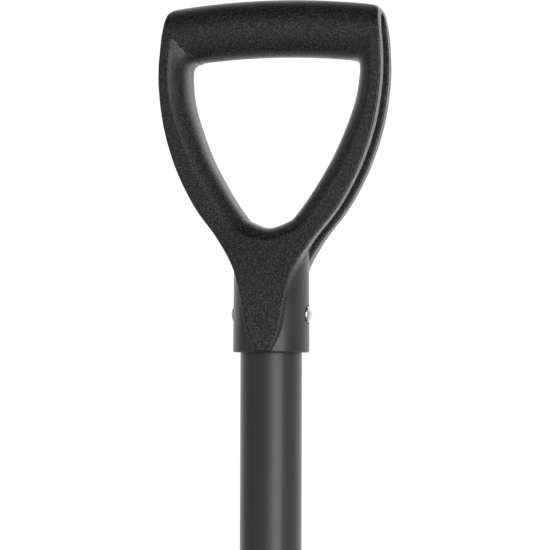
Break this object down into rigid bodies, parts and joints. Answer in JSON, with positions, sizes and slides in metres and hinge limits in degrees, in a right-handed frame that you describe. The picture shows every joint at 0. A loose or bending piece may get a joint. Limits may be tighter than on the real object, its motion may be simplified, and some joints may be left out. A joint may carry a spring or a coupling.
{
  "type": "round point shovel",
  "caption": "Round point digging shovel: moulded D-grip, tubular shaft riveted into a steel socket, and a dished, pointed blade with turned foot treads.",
  "frame": {"origin": "middle of the grip's crossbar, on its axis, where a hand holds it", "axes": "+Z along the shaft towards the grip, -Y to the front, the side that the blade is hollow on, +X to the right seen from the front"},
  "size_m": [0.222, 0.0716, 1.0658],
  "materials": {
    "grip_plastic": "black moulded plastic with a fine matt grain",
    "screw_zinc": "bright zinc plated",
    "shaft_coating": "charcoal satin powder coat",
    "core_wood": "turned hardwood",
    "ferrule_steel": "black satin paint",
    "black_steel": "black satin powder coat, worn bright along the cutting edge",
    "rivet_steel": "plain steel"
  },
  "bodies": {
    "root": {"d_grip": "grip_plastic", "grip_screw_left": "screw_zinc", "grip_screw_right": "screw_zinc", "shaft": "shaft_coating", "shaft_core": "core_wood", "socket_ferrule": "ferrule_steel", "socket": "black_steel", "socket_rivet_upper": "rivet_steel", "socket_rivet_lower": "rivet_steel", "blade": "black_steel", "frog_plate": "black_steel"}
  },
  "joints": []
}
